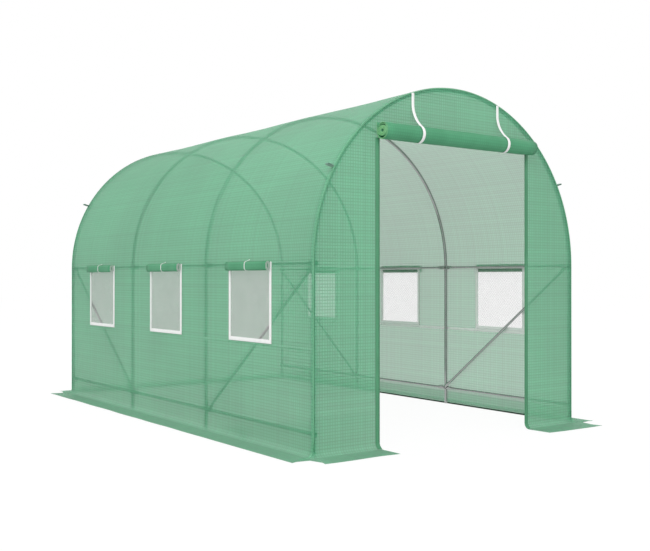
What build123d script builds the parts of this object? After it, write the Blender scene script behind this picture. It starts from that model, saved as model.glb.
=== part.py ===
from build123d import *
import os
from math import cos, degrees, radians, sin, sqrt

# Walk-in polytunnel greenhouse, millimetres, +Z up, doorway towards -Y.

# Overall sizes of the cover, measured outside
cover_width = 2000
cover_length = 3320
spring_height = 988

# Cover cloth and the clearance that everything is seated with
cloth = 3
seat_gap = 0.3

# Frame tube, hoop spacing and rail heights
tube_diameter = 20
tube_wall = 1.5
rail_diameter = 16
middle_bay = 1050
leg_joint_drop = 48
ground_rail_height = 116
spigot_length = 50
spigot_root = 6
spigot_gap = 0.2

# Flattened ends of the rails and braces
flat_width = 24
flat_thickness = 3
flat_length = 42
neck_length = 36

# Skirts that lie on the ground
side_skirt = 155
end_skirt = 190
skirt_flare = 45
fold_radius = 34

# Doorway, its edge strips, the rolled door and its ties
door_width = 1130
door_head_drop = 313
door_roll_rise = 17
edge_strip_width = 28
edge_strip_thickness = 1.5
edge_strip_clear = 15
door_roll_diameter = 94
door_roll_overhang = 20
roll_layer = 4
roll_pitch = 8
roll_half_turns = 9
door_tie_inset = 235
door_tie_width = 20
door_tie_thickness = 2
door_tie_hang = 62
door_tie_touch_angle = 125
door_tie_end_angle = 285

# Windows with their borders, nets, rolled flaps and ties
window_pitch = 1045
window_width = 412
window_height = 399
window_drop = 12
border_width = 22
border_thickness = 2
border_rise = 12
net_thickness = 1.5
flap_roll_depth = 34
flap_roll_height = 56
flap_roll_drop = 6
flap_layer = 3
flap_pitch = 5
flap_half_turns = 5
flap_tie_width = 10
flap_tie_thickness = 2

# Webbing loops on the end arches
loop_angle = 30
loop_lean = 14
loop_length = 42
loop_height = 9
loop_thickness = 2.5
loop_width = 25

# Derived sizes
arch_radius = cover_width / 2
inner_radius = arch_radius - cloth
half_length = cover_length / 2
inner_half_length = half_length - cloth
tube_radius = tube_diameter / 2
bore_radius = tube_radius - tube_wall
rail_radius = rail_diameter / 2
spigot_radius = bore_radius - spigot_gap
spigot_bore = spigot_radius - tube_wall
hoop_radius = inner_radius - seat_gap - tube_radius
end_hoop = inner_half_length - seat_gap - tube_radius
inner_hoop = middle_bay / 2
joint_height = spring_height - leg_joint_drop
ridge_height = spring_height + arch_radius
layer_pitch = flat_thickness + seat_gap
rail_line = hoop_radius - tube_radius - seat_gap - flat_thickness / 2
flat_past_bolt = tube_radius - seat_gap
brace_set_out = rail_radius - flat_thickness / 2
fold_top = cloth + fold_radius
joint_angle = degrees(seat_gap / hoop_radius)
spigot_angle = degrees(spigot_length / hoop_radius)
root_angle = degrees(spigot_root / hoop_radius)
door_half = door_width / 2
door_height = ridge_height - door_head_drop
door_roll_height = door_height + door_roll_rise
door_roll_length = door_width + 2 * door_roll_overhang
door_roll_radius = door_roll_diameter / 2
door_roll_out = half_length + seat_gap + door_roll_radius
door_tie_side = door_half - door_tie_inset
door_tie_edge = door_tie_side + door_tie_width / 2
door_tie_top = spring_height + sqrt(arch_radius**2 - door_tie_edge**2) - seat_gap
door_tie_leave = door_tie_top - door_tie_hang
window_top = spring_height - window_drop
window_bottom = window_top - window_height
border_top = spring_height + border_rise
flap_roll_centre = spring_height - flap_roll_drop
flap_roll_length = window_width + 2 * border_width

hoops = {"front": -end_hoop, "second": -inner_hoop, "third": inner_hoop, "rear": end_hoop}
sides = {"left": -1, "right": 1}
window_centres = (-window_pitch, 0, window_pitch)

os.makedirs("parts", exist_ok=True)


def save(built, label):
    built.part.label = label
    export_step(built.part, f"parts/{label}.step")


def ring(outer_radius, hole_radius):
    Circle(outer_radius)
    Circle(hole_radius, mode=Mode.SUBTRACT)


def flat_ended_tube(start, end, set_out):
    run = Vector(*end) - Vector(*start)
    plain = flat_length + neck_length
    ahead = Plane(origin=start, x_dir=Axis.X.direction, z_dir=run)
    back = Plane(origin=end, x_dir=Axis.X.direction, z_dir=-run)
    with BuildSketch(ahead.offset(plain)) as middle:
        with Locations((set_out, 0)):
            Circle(rail_radius)
    extrude(middle.sketch, amount=run.length - 2 * plain)
    for end_plane in (ahead, back):
        with BuildSketch(end_plane.offset(-flat_past_bolt)) as tip:
            Ellipse(flat_thickness / 2, flat_width / 2)
        extrude(tip.sketch, amount=flat_past_bolt + flat_length)
        with BuildSketch(end_plane.offset(flat_length)) as flat:
            Ellipse(flat_thickness / 2, flat_width / 2)
        with BuildSketch(end_plane.offset(plain)) as neck:
            with Locations((set_out, 0)):
                Circle(rail_radius)
        loft([flat.sketch, neck.sketch])


def end_outline():
    with BuildLine() as outline:
        foot = Line((-arch_radius, fold_top), (arch_radius, fold_top))
        Line(foot @ 1, (arch_radius, spring_height))
        arch = CenterArc((0, spring_height), arch_radius, 0, 180)
        Line(arch @ 1, foot @ 0)
    make_face(outline.edges())


# Hoop legs: straight tubes that stand on the ground
for hoop, y in hoops.items():
    with BuildPart() as hoop_legs:
        with BuildSketch():
            with Locations((-hoop_radius, y), (hoop_radius, y)):
                ring(tube_radius, bore_radius)
        extrude(amount=joint_height - seat_gap)
    save(hoop_legs, f"{hoop}_hoop_legs")

# Hoop arches: two bent tubes with swaged feet, the left one with a swaged ridge end
with BuildPart() as arch_pattern:
    for side in sides.values():
        bend = 90 - root_angle if side < 0 else 90 - joint_angle
        with BuildSketch(Plane.XY.offset(spring_height)):
            with Locations((side * hoop_radius, 0)):
                ring(tube_radius, bore_radius)
        revolve(axis=Axis((0, 0, spring_height), (0, -side, 0)), revolution_arc=bend)
        with BuildSketch(Plane.XY.offset(joint_height + spigot_root)):
            with Locations((side * hoop_radius, 0)):
                ring(tube_radius, bore_radius)
        extrude(amount=spring_height - joint_height - spigot_root)
        with BuildSketch(Plane.XY.offset(joint_height)):
            with Locations((side * hoop_radius, 0)):
                ring(tube_radius, spigot_bore)
        extrude(amount=spigot_root)
        with BuildSketch(Plane.XY.offset(joint_height - spigot_length)):
            with Locations((side * hoop_radius, 0)):
                ring(spigot_radius, spigot_bore)
        extrude(amount=spigot_length)
    bend_axis = Axis((0, 0, spring_height), (0, 1, 0))
    root_plane = Plane.YZ.rotated((0, -root_angle, 0))
    root_plane.origin = (0, 0, spring_height)
    with BuildSketch(root_plane):
        with Locations((0, hoop_radius)):
            ring(tube_radius, spigot_bore)
    revolve(axis=bend_axis, revolution_arc=root_angle)
    with BuildSketch(Plane.YZ):
        with Locations((0, spring_height + hoop_radius)):
            ring(spigot_radius, spigot_bore)
    revolve(axis=bend_axis, revolution_arc=spigot_angle)

for hoop, y in hoops.items():
    with BuildPart() as hoop_arch:
        with Locations((0, y, 0)):
            add(arch_pattern.part)
    save(hoop_arch, f"{hoop}_hoop_arch")

# Rails: one tube a bay, their flattened ends lapped on the inner face of the hoops
with BuildPart() as end_rail:
    flat_ended_tube((0, -end_hoop, 0), (0, -inner_hoop, 0), 0)
with BuildPart() as middle_rail:
    flat_ended_tube((0, -inner_hoop, 0), (0, inner_hoop, 0), 0)
rail_shift = end_hoop + inner_hoop
rail_heights = {"eave": spring_height, "ground": ground_rail_height}
for side_name, side in sides.items():
    outer_line = side * rail_line
    lapped_line = side * (rail_line - layer_pitch)
    for rail_name, z in rail_heights.items():
        with BuildPart() as rails:
            with Locations((outer_line, 0, z), (outer_line, rail_shift, z)):
                add(end_rail.part)
            with Locations((lapped_line, 0, z)):
                add(middle_rail.part)
        save(rails, f"{side_name}_{rail_name}_rails")

# Braces: from the eave of each end hoop down to the foot of the next hoop, set out from their flats
with BuildPart() as brace_pattern:
    for end in (-1, 1):
        eave_bolt = (0, end * end_hoop, spring_height)
        foot_bolt = (0, end * inner_hoop, ground_rail_height)
        flat_ended_tube(eave_bolt, foot_bolt, brace_set_out)
    for end in (-1, 1):
        with Locations((0, end * (end_hoop + flat_past_bolt + flat_width / 2), spring_height)):
            Box(flat_width, flat_width, 3 * flat_width, mode=Mode.SUBTRACT)

for side_name, side in sides.items():
    facing = 0 if side > 0 else 180
    with BuildPart() as braces:
        with Locations(Location((side * (rail_line - 2 * layer_pitch), 0, 0), (0, 0, facing))):
            add(brace_pattern.part)
    save(braces, f"{side_name}_braces")

# Side walls with window openings, and the two halves of the roof
for side_name, side in sides.items():
    with BuildPart() as wall:
        with BuildSketch(Plane.YZ.offset(side * inner_radius)):
            with Locations((0, (fold_top + spring_height) / 2)):
                Rectangle(2 * inner_half_length, spring_height - fold_top)
            with Locations(*[(y, (window_bottom + window_top) / 2) for y in window_centres]):
                Rectangle(window_width, window_top - window_bottom, mode=Mode.SUBTRACT)
        extrude(amount=side * cloth)
    save(wall, f"{side_name}_wall")

    with BuildPart() as roof:
        with BuildSketch(Plane.XZ):
            with Locations((0, spring_height)):
                Circle(arch_radius)
                Circle(inner_radius, mode=Mode.SUBTRACT)
            with Locations((side * arch_radius / 2, spring_height + arch_radius / 2)):
                Rectangle(arch_radius, arch_radius, mode=Mode.INTERSECT)
        extrude(amount=inner_half_length, both=True)
    save(roof, f"{side_name}_roof")

# Door end: a panel each side of the doorway and one over it
door_end = Plane.XZ.offset(inner_half_length)
panel_width = arch_radius - door_half
for side_name, side in sides.items():
    with BuildPart() as door_panel:
        with BuildSketch(door_end):
            end_outline()
            with Locations((side * (door_half + panel_width / 2), door_height / 2)):
                Rectangle(panel_width, door_height, mode=Mode.INTERSECT)
        extrude(amount=cloth)
    save(door_panel, f"front_{side_name}_panel")

with BuildPart() as top_panel:
    with BuildSketch(door_end):
        end_outline()
        with Locations((0, door_height + arch_radius / 2)):
            Rectangle(cover_width, arch_radius, mode=Mode.INTERSECT)
    extrude(amount=cloth)
save(top_panel, "front_top_panel")

with BuildPart() as rear_panel:
    with BuildSketch(Plane.XZ.offset(-half_length)):
        end_outline()
    extrude(amount=cloth)
save(rear_panel, "rear_panel")

# Side skirts: the wall cloth folded outwards and laid on the ground
for side_name, side in sides.items():
    root = side * (arch_radius + fold_radius)
    edge = side * (arch_radius + side_skirt)
    with BuildPart() as skirt:
        with BuildSketch(Plane.XZ):
            with Locations((root, fold_top)):
                Circle(fold_top)
                Circle(fold_radius, mode=Mode.SUBTRACT)
            with Locations((root - side * fold_top / 2, fold_top / 2)):
                Rectangle(fold_top, fold_top, mode=Mode.INTERSECT)
        extrude(amount=inner_half_length, both=True)
        with BuildSketch():
            with BuildLine():
                Polyline(
                    (root, -inner_half_length),
                    (edge, -inner_half_length - skirt_flare),
                    (edge, inner_half_length + skirt_flare),
                    (root, inner_half_length),
                    close=True,
                )
            make_face()
        extrude(amount=cloth)
    save(skirt, f"{side_name}_skirt")

# End skirts, with the doorway left clear at the front
end_skirts = {
    "front_left_skirt": (-1, -arch_radius, -door_half, skirt_flare, 0),
    "front_right_skirt": (-1, door_half, arch_radius, 0, skirt_flare),
    "rear_skirt": (1, -arch_radius, arch_radius, skirt_flare, skirt_flare),
}
for label, (end, low, high, low_flare, high_flare) in end_skirts.items():
    root = end * (half_length + fold_radius)
    edge = end * (half_length + end_skirt)
    with BuildPart() as skirt:
        with BuildSketch(Plane.YZ.offset(low)):
            with Locations((root, fold_top)):
                Circle(fold_top)
                Circle(fold_radius, mode=Mode.SUBTRACT)
            with Locations((root - end * fold_top / 2, fold_top / 2)):
                Rectangle(fold_top, fold_top, mode=Mode.INTERSECT)
        extrude(amount=high - low)
        with BuildSketch():
            with BuildLine():
                Polyline(
                    (low, root),
                    (low - low_flare, edge),
                    (high + high_flare, edge),
                    (high, root),
                    close=True,
                )
            make_face()
        extrude(amount=cloth)
    save(skirt, label)

# Windows: nets in the openings, borders outside and inside, rolled flaps and their ties
opening_height = window_top - window_bottom
opening_middle = (window_top + window_bottom) / 2
border_bottom = window_bottom - border_width
flap_line = arch_radius + border_thickness + seat_gap + flap_roll_depth / 2
flap_wind = flap_roll_depth / 2 - flap_layer / 2
flap_run = (flap_roll_height - flap_roll_depth) / 2
for side_name, side in sides.items():
    with BuildPart() as nets:
        with BuildSketch(Plane.YZ.offset(side * (arch_radius - cloth / 2 - net_thickness / 2))):
            with Locations(*[(y, opening_middle) for y in window_centres]):
                Rectangle(window_width, opening_height)
        extrude(amount=side * net_thickness)
    save(nets, f"{side_name}_window_nets")

    with BuildPart() as borders:
        faces = ((arch_radius, border_top, side), (inner_radius, spring_height, -side))
        for face_line, top, way in faces:
            with BuildSketch(Plane.YZ.offset(side * face_line)):
                with Locations(*[(y, (border_bottom + top) / 2) for y in window_centres]):
                    Rectangle(window_width + 2 * border_width, top - border_bottom)
                with Locations(*[(y, opening_middle) for y in window_centres]):
                    Rectangle(window_width, opening_height, mode=Mode.SUBTRACT)
            extrude(amount=way * border_thickness)
    save(borders, f"{side_name}_window_borders")

    with BuildPart() as flap_rolls:
        for y in window_centres:
            with BuildSketch(Plane.XZ.offset(-y - flap_roll_length / 2)):
                with BuildLine():
                    place = side * (flap_line - flap_wind)
                    Line((place, flap_roll_centre + flap_run), (place, flap_roll_centre - flap_run))
                    for half_turn in range(flap_half_turns):
                        way = 1 if half_turn % 2 else -1
                        radius = flap_wind - half_turn * flap_pitch / 2
                        across = place - way * side * 2 * radius
                        turn = flap_roll_centre + way * flap_run
                        top = ((place + across) / 2, turn + way * radius)
                        ThreePointArc((place, turn), top, (across, turn))
                        Line((across, turn), (across, turn - way * 2 * flap_run))
                        place = across
                trace(line_width=flap_layer)
            extrude(amount=flap_roll_length)
    save(flap_rolls, f"{side_name}_flap_rolls")

    wrap_radius = flap_roll_depth / 2 + seat_gap
    wrap_height = flap_roll_height + 2 * seat_gap
    with BuildPart() as flap_ties:
        for y in window_centres:
            with BuildSketch(Plane.XZ.offset(-y - flap_tie_width / 2)):
                with Locations(Location((side * flap_line, flap_roll_centre), 90)):
                    SlotOverall(wrap_height + 2 * flap_tie_thickness, 2 * (wrap_radius + flap_tie_thickness))
                    SlotOverall(wrap_height, 2 * wrap_radius, mode=Mode.SUBTRACT)
                with Locations((side * (flap_line + seat_gap + flap_tie_thickness), flap_roll_centre)):
                    Rectangle(2 * wrap_radius, 2 * flap_roll_height, mode=Mode.INTERSECT)
            extrude(amount=flap_tie_width)
    save(flap_ties, f"{side_name}_flap_ties")

# Rolled door: one length of cloth that comes down the panel and is wound outwards
wind_radius = door_roll_radius - roll_layer / 2
with BuildPart() as door_roll:
    with BuildSketch(Plane.YZ.offset(-door_roll_length / 2)):
        with BuildLine():
            for half_turn in range(roll_half_turns):
                shift = -roll_pitch / 2 * (half_turn % 2)
                radius = wind_radius - half_turn * roll_pitch / 2
                centre = (shift - door_roll_out, door_roll_height)
                CenterArc(centre, radius, 180 * (half_turn % 2), -180)
        trace(line_width=roll_layer)
    extrude(amount=door_roll_length)
save(door_roll, "door_roll")

# Door ties: webbing that hangs from the arch, swings out over the roll and turns under it
tie_radius = door_roll_radius + seat_gap + door_tie_thickness / 2
tie_line = -half_length - door_tie_thickness / 2
with BuildPart() as door_ties:
    for side in sides.values():
        with BuildSketch(Plane.YZ.offset(side * door_tie_side - door_tie_width / 2)):
            with BuildLine():
                hang = Line((tie_line, door_tie_top), (tie_line, door_tie_leave))
                wrap = CenterArc(
                    (-door_roll_out, door_roll_height),
                    tie_radius,
                    door_tie_touch_angle,
                    door_tie_end_angle - door_tie_touch_angle,
                )
                Spline(hang @ 1, wrap @ 0, tangents=(hang % 1, wrap % 0))
            trace(line_width=door_tie_thickness)
        extrude(amount=door_tie_width)
save(door_ties, "door_ties")

# Strips down both edges of the doorway
strip_height = door_height - edge_strip_clear - fold_top
with BuildPart() as edge_strips:
    with BuildSketch(Plane.XZ.offset(half_length)):
        for side in sides.values():
            with Locations((side * (door_half + edge_strip_width / 2), fold_top + strip_height / 2)):
                Rectangle(edge_strip_width, strip_height)
    extrude(amount=edge_strip_thickness)
save(edge_strips, "door_edge_strips")

# Webbing loops that stand out from the cover at the end arches
loop_out = seat_gap + loop_length / 2
with BuildPart() as loops:
    for y in (-end_hoop, end_hoop):
        for side in sides.values():
            lean = radians(loop_angle - loop_lean)
            rise = radians(loop_angle)
            loop_x = arch_radius * cos(rise) + loop_out * cos(lean)
            loop_z = spring_height + arch_radius * sin(rise) + loop_out * sin(lean)
            with BuildSketch(Plane.XZ.offset(-y - loop_width / 2)):
                with Locations(Location((side * loop_x, loop_z), side * (loop_angle - loop_lean))):
                    SlotOverall(loop_length, loop_height)
                    SlotOverall(
                        loop_length - 2 * loop_thickness,
                        loop_height - 2 * loop_thickness,
                        mode=Mode.SUBTRACT,
                    )
            extrude(amount=loop_width)
save(loops, "guy_loops")
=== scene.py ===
import bpy
import bmesh
import math
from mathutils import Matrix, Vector, noise


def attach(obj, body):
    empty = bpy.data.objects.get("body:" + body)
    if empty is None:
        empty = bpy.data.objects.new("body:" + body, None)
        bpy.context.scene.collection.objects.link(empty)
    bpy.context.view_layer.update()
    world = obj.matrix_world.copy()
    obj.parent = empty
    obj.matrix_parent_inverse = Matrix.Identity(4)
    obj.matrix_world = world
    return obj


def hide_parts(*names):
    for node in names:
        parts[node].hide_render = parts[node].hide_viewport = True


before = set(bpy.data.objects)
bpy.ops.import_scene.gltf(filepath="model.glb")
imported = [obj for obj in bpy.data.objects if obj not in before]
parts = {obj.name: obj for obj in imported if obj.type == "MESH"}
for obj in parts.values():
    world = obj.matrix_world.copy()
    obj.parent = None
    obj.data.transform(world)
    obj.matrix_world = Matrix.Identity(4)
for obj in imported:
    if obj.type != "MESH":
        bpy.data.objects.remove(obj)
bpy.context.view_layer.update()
scene = bpy.context.scene
print("frame loaded with", len(parts), "nodes")

# camera and stage

view = {"place": (-3.719, -5.512, 0.912), "turn": -35.96, "tilt": 90.15, "lens": 51.65}
cam = bpy.data.objects.new("viewCamera", bpy.data.cameras.new("viewCamera"))
scene.collection.objects.link(cam)
cam.location = view["place"]
cam.rotation_euler = (math.radians(view["tilt"]), 0, math.radians(view["turn"]))
cam.data.sensor_width = 36
cam.data.lens = view["lens"]
scene.camera = cam
scene.view_settings.view_transform = "Standard"


class Flow:
    # a shader socket that takes part in sums
    def __init__(self, finish, socket):
        self.finish = finish
        self.socket = socket

    def sum(self, operation, other, turned=False):
        pair = (other, self) if turned else (self, other)
        return self.finish.flow("ShaderNodeMath", {"operation": operation}, {0: pair[0], 1: pair[1]})

    def __add__(self, other): return self.sum("ADD", other)
    def __radd__(self, other): return self.sum("ADD", other, True)
    def __sub__(self, other): return self.sum("SUBTRACT", other)
    def __rsub__(self, other): return self.sum("SUBTRACT", other, True)
    def __mul__(self, other): return self.sum("MULTIPLY", other)
    def __rmul__(self, other): return self.sum("MULTIPLY", other, True)

    def least(self, other): return self.sum("MINIMUM", other)
    def most(self, other): return self.sum("MAXIMUM", other)
    def swing(self, span): return self.sum("PINGPONG", span)
    def size(self): return self.sum("ABSOLUTE", 0.0)

    def between(self, low, high, start=0.0, end=1.0):
        # runs from start to end as the value goes from low to high
        return self.finish.flow("ShaderNodeMapRange", {"interpolation_type": "SMOOTHSTEP"},
                                {"Value": self, "From Min": low, "From Max": high, "To Min": start, "To Max": end})


class Finish:
    def __init__(self, name):
        self.mat = bpy.data.materials.new(name)
        self.mat.use_nodes = True
        self.tree = self.mat.node_tree
        self.tree.nodes.clear()
        self.end = self.add("ShaderNodeOutputMaterial")

    def add(self, kind, settings=None, sockets=None):
        node = self.tree.nodes.new(kind)
        for key, value in (settings or {}).items():
            setattr(node, key, value)
        for key, value in (sockets or {}).items():
            if isinstance(value, Flow):
                self.tree.links.new(value.socket, node.inputs[key])
            elif isinstance(value, bpy.types.Node):
                self.tree.links.new(value.outputs[0], node.inputs[key])
            else:
                node.inputs[key].default_value = value
        return node

    def flow(self, kind, settings=None, sockets=None, out=0):
        return Flow(self, self.add(kind, settings, sockets).outputs[out])

    def spot(self, kind):
        return self.flow("ShaderNodeTexCoord", None, None, kind)

    def pair(self, kind):
        # the first two of the coordinates
        split = self.add("ShaderNodeSeparateXYZ", None, {0: self.spot(kind)})
        return [Flow(self, split.outputs[i]) for i in range(2)]

    def blend(self, share, first, second):
        # two colours mixed, by node or by plain value
        node = self.add("ShaderNodeMix", {"data_type": "RGBA"})
        for index, value in ((0, share), (6, first), (7, second)):
            if isinstance(value, Flow):
                self.tree.links.new(value.socket, node.inputs[index])
            else:
                node.inputs[index].default_value = (*value, 1) if isinstance(value, tuple) else value
        return Flow(self, node.outputs[2])

    def grain(self, scale, detail):
        return self.flow("ShaderNodeTexNoise", None,
                         {"Vector": self.spot("Object"), "Scale": scale, "Detail": detail})

    def bump(self, strength, depth, height):
        return self.add("ShaderNodeBump", None, {"Strength": strength, "Distance": depth, "Height": height})

    def mix(self, share, first, second):
        return self.add("ShaderNodeMixShader", None, {0: share, 1: first, 2: second})

    def close(self, shader):
        self.tree.links.new(shader.outputs[0], self.end.inputs["Surface"])
        return self.mat


stage = {"floorSize": 60, "floorDrop": 0.0008, "floorWhite": (0.69, 0.69, 0.69), "glow": 0.89, "white": 1.05,
         "worldLight": 0.88, "inGlow": 0.16, "underShadeTone": (0.45, 0.47, 0.46), "contactShadowTone": (0.030, 0.060, 0.040),
         # where each shade of the ground starts and is full
         "openX": (1.50, 1.55), "openY": (2.00, 2.05), "inX": (0.93, 0.99),
         "inFrom": (-0.75, -0.35), "inTo": (1.50, 1.60),
         "contactShadowX": (0.984, 1.000), "contactShadowOut": (1.05, 1.06), "contactShadowY": (1.66, 1.69),
         "underX": (1.00, 1.02), "underY": (1.66, 1.68), "skirtX": (1.15, 1.16), "skirtY": (1.85, 1.86)}


def makeStage():
    g = stage
    mesh = bpy.data.meshes.new("groundSheet")
    h = g["floorSize"] / 2
    mesh.from_pydata([(x, y, -g["floorDrop"]) for x, y in ((-h, -h), (h, -h), (h, h), (-h, h))], [], [(0, 1, 2, 3)])
    ground = bpy.data.objects.new("groundSheet", mesh)
    scene.collection.objects.link(ground)
    f = Finish("paleGround")
    path = f.add("ShaderNodeLightPath").outputs
    camera, depth = Flow(f, path["Is Camera Ray"]), Flow(f, path["Transparent Depth"])
    seen = camera.most(Flow(f, path["Is Glossy Ray"])).most(Flow(f, path["Is Transmission Ray"]))
    straight = (1 - depth).most(0.0)
    x, along = f.pair("Object")
    x, y = x.size(), along.size()
    # ground that the cover shades glows fully only where it is seen straight; inside the tunnel it keeps a faint
    # painted glow, inGlow, also where seen through the cover
    clear = x.between(*g["openX"]).most(y.between(*g["openY"]))
    within = x.between(*g["inX"], 1, 0) * along.between(*g["inFrom"]) * along.between(*g["inTo"], 1, 0)
    # painted light: the faint glow inside the tunnel
    seen = seen * straight.most(clear).most(within * g["inGlow"])
    # painted contact shadow: the ground is darkened under the turn of the long walls, where cover and ground close up
    crease = x.between(*g["contactShadowX"]) * x.between(*g["contactShadowOut"], 1, 0) * y.between(*g["contactShadowY"], 1, 0)
    crease = crease * straight * camera
    seen = seen * (1 - crease)
    # painted shade: the ground under the skirts is darker, as less light reaches it
    under = x.between(*g["underX"]).most(y.between(*g["underY"])) * (1 - straight)
    under = under * x.between(*g["skirtX"], 1, 0) * y.between(*g["skirtY"], 1, 0)
    bare = f.blend(under, g["floorWhite"], g["underShadeTone"])
    # the painted contact shadow darkens the ground colour along the foot of the long walls
    lit = f.add("ShaderNodeBsdfDiffuse", None, {"Color": f.blend(crease, bare, g["contactShadowTone"])})
    white = f.add("ShaderNodeEmission", None, {"Color": (1, 1, 1, 1), "Strength": g["white"]})
    mesh.materials.append(f.close(f.mix(seen * g["glow"], lit, white)))

    world = bpy.data.worlds.new("studioLight")
    scene.world = world
    world.use_nodes = True
    tree = world.node_tree
    back = tree.nodes["Background"]
    back.inputs["Color"].default_value = (1, 1, 1, 1)
    ray = tree.nodes.new("ShaderNodeLightPath")
    last = ray.outputs["Is Camera Ray"]
    for name in ("Is Glossy Ray", "Is Transmission Ray"):
        pick = tree.nodes.new("ShaderNodeMath")
        pick.operation = "MAXIMUM"
        tree.links.new(last, pick.inputs[0])
        tree.links.new(ray.outputs[name], pick.inputs[1])
        last = pick.outputs[0]
    level = tree.nodes.new("ShaderNodeMapRange")
    level.inputs["To Min"].default_value = g["worldLight"]
    level.inputs["To Max"].default_value = 1.0
    tree.links.new(last, level.inputs["Value"])
    tree.links.new(level.outputs[0], back.inputs["Strength"])


lamps = [  # name, place, aim, size, watts
    ("keyLamp", (-5.0, -6.5, 6.0), (0, 0, 0.8), 4.0, 230),
    ("topLamp", (-3.0, 2.5, 7.5), (0, 0, 1.0), 6.0, 60),
]


def makeLamps():
    for name, spot, aim, size, watts in lamps:
        lamp = bpy.data.lights.new(name, "AREA")
        lamp.energy = watts
        lamp.size = size
        ob = bpy.data.objects.new(name, lamp)
        ob.location = spot
        ob.rotation_euler = (Vector(aim) - Vector(spot)).to_track_quat("-Z", "Y").to_euler()
        ob.visible_camera = False
        scene.collection.objects.link(ob)


makeStage()
makeLamps()
print("stage and lamps set")

# finishes

clothLook = {"film": (0.145, 0.74, 0.380), "yarn": (0.060, 0.45, 0.205), "through": (0.53, 0.61, 0.560),
             "pitch": 0.0165, "yarnWidth": 0.0044, "tapeWidth": 0.0011, "yarnTone": 1.0,
             "cloudScale": 1.7, "threadScale": 34.0, "shine": 0.35,
             "filmSight": 0.70, "yarnSight": 0.86, "throughShare": 0.45, "yarnThrough": 0.82}
netLook = {"mesh": 0.001, "knit": 0.011, "pale": (1.0, 0.94, 0.96), "dark": (0.34, 0.26, 0.30),
           "holeSight": 0.04, "strandSight": 0.66, "knitSight": 0.09, "throughShare": 0.5}
rollLook = {"pitch": 0.010, "shade": 0.72, "shine": 0.35, "throughShare": 0.25}


def clothFinish(name, look):
    # film between a grid of yarn, partly clear
    f = Finish(name)
    u, v = f.pair("UV")
    half = look["yarnWidth"] / 2
    lines = [way.swing(look["pitch"] / 2).between(half * 0.75, half * 1.25, 1, 0) for way in (u, v)]
    yarn = lines[0].most(lines[1])
    tapes = (u.swing(look["tapeWidth"]) + v.swing(look["tapeWidth"])) * 900.0
    cloud = f.grain(look["cloudScale"], 2)
    threads = [f.flow("ShaderNodeTexNoise", {"noise_dimensions": "1D"},
                      {"W": way, "Scale": look["threadScale"], "Detail": 2.0}) for way in (u, v)]
    tone = cloud.between(0.35, 0.65, 0.93, 1.06) * (threads[0] + threads[1]).between(0.7, 1.3, 0.93, 1.07)
    plain = f.blend(yarn * look["yarnTone"], look["film"], look["yarn"])
    colour = f.flow("ShaderNodeVectorMath", {"operation": "SCALE"}, {0: plain, "Scale": tone})
    bump = f.bump(0.3, 0.0006, yarn + tapes * 0.25)
    skin = f.add("ShaderNodeBsdfPrincipled", None,
                 {"Base Color": colour, "Roughness": yarn.between(0, 1, 0.42, 0.55), "Normal": bump,
                  "Specular IOR Level": look["shine"]})
    pale = [f.add("ShaderNodeBsdfTranslucent", None,
                  {"Color": (*[c * dim for c in look["through"]], 1), "Normal": bump})
            for dim in (1.0, look["yarnThrough"])]
    body = f.mix(look["throughShare"], skin, f.mix(yarn, *pale))
    sight = yarn.between(0, 1, look["filmSight"], look["yarnSight"])
    return f.close(f.mix(sight, f.add("ShaderNodeBsdfTransparent"), body))


def rolledFinish(name, colour, solid=False, pitch=rollLook["pitch"]):
    # several layers of cloth, or with solid a cut edge or a binding
    f = Finish(name)
    u, v = f.pair("UV")
    lines = [way.swing(pitch / 2).between(pitch * 0.08, pitch * 0.20, 1, 0) for way in (u, v)]
    lines = lines[0].most(lines[1])
    cloud = f.grain(6.0, 3)
    shade = tuple(c * rollLook["shade"] for c in colour)
    mixed = f.blend((lines * 0.45 + cloud.between(0.3, 0.7, 0, 0.4)).least(1.0), colour, shade)
    skin = f.add("ShaderNodeBsdfPrincipled", None,
                 {"Base Color": mixed, "Roughness": cloud.between(0.3, 0.7, 0.4, 0.58),
                  "Normal": f.bump(0.3, 0.0008, lines + cloud), "Specular IOR Level": rollLook["shine"]})
    if solid:
        return f.close(skin)
    glow = f.add("ShaderNodeBsdfTranslucent", None, {"Color": (*colour, 1)})
    return f.close(f.mix(rollLook["throughShare"], skin, glow))


def netFinish(name, look):
    # fine square mesh with a wider slanting knit
    f = Finish(name)
    u, v = f.pair("UV")
    strand = u.swing(look["mesh"]).between(0.00016, 0.00034, 1, 0)
    strand = strand.most(v.swing(look["mesh"]).between(0.00020, 0.00040, 1, 0))
    slants = [way.swing(look["knit"]).between(0.0016, 0.0042, 1, 0) for way in (u + v, u - v)]
    knit = slants[0].most(slants[1])
    cloud = f.grain(9.0, 2)
    shade = (knit * 0.8 + cloud.between(0.35, 0.65, 0, 0.2)).least(1.0)
    skin = f.add("ShaderNodeBsdfPrincipled", None,
                 {"Base Color": f.blend(shade, look["pale"], look["dark"]), "Roughness": 0.7,
                  "Normal": f.bump(0.2, 0.0004, strand)})
    glow = f.add("ShaderNodeBsdfTranslucent", None, {"Color": (1.0, 1.0, 1.0, 1)})
    body = f.mix(look["throughShare"], skin, glow)
    sight = (strand.between(0, 1, look["holeSight"], look["strandSight"]) + knit * look["knitSight"]).least(1.0)
    return f.close(f.mix(sight, f.add("ShaderNodeBsdfTransparent"), body))


def tapeFinish(name, colour, dark):
    f = Finish(name)
    weave = f.flow("ShaderNodeTexChecker", None, {"Vector": f.spot("Object"), "Scale": 900.0}, 1)
    cloud = f.grain(40.0, 3)
    mixed = f.blend((weave * 0.3 + cloud.between(0.35, 0.7, 0, 0.5)).least(1.0), colour, dark)
    return f.close(f.add("ShaderNodeBsdfPrincipled", None,
                         {"Base Color": mixed, "Roughness": cloud.between(0.3, 0.7, 0.62, 0.82),
                          "Normal": f.bump(0.25, 0.0004, weave + cloud), "Sheen Weight": 0.15}))


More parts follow.
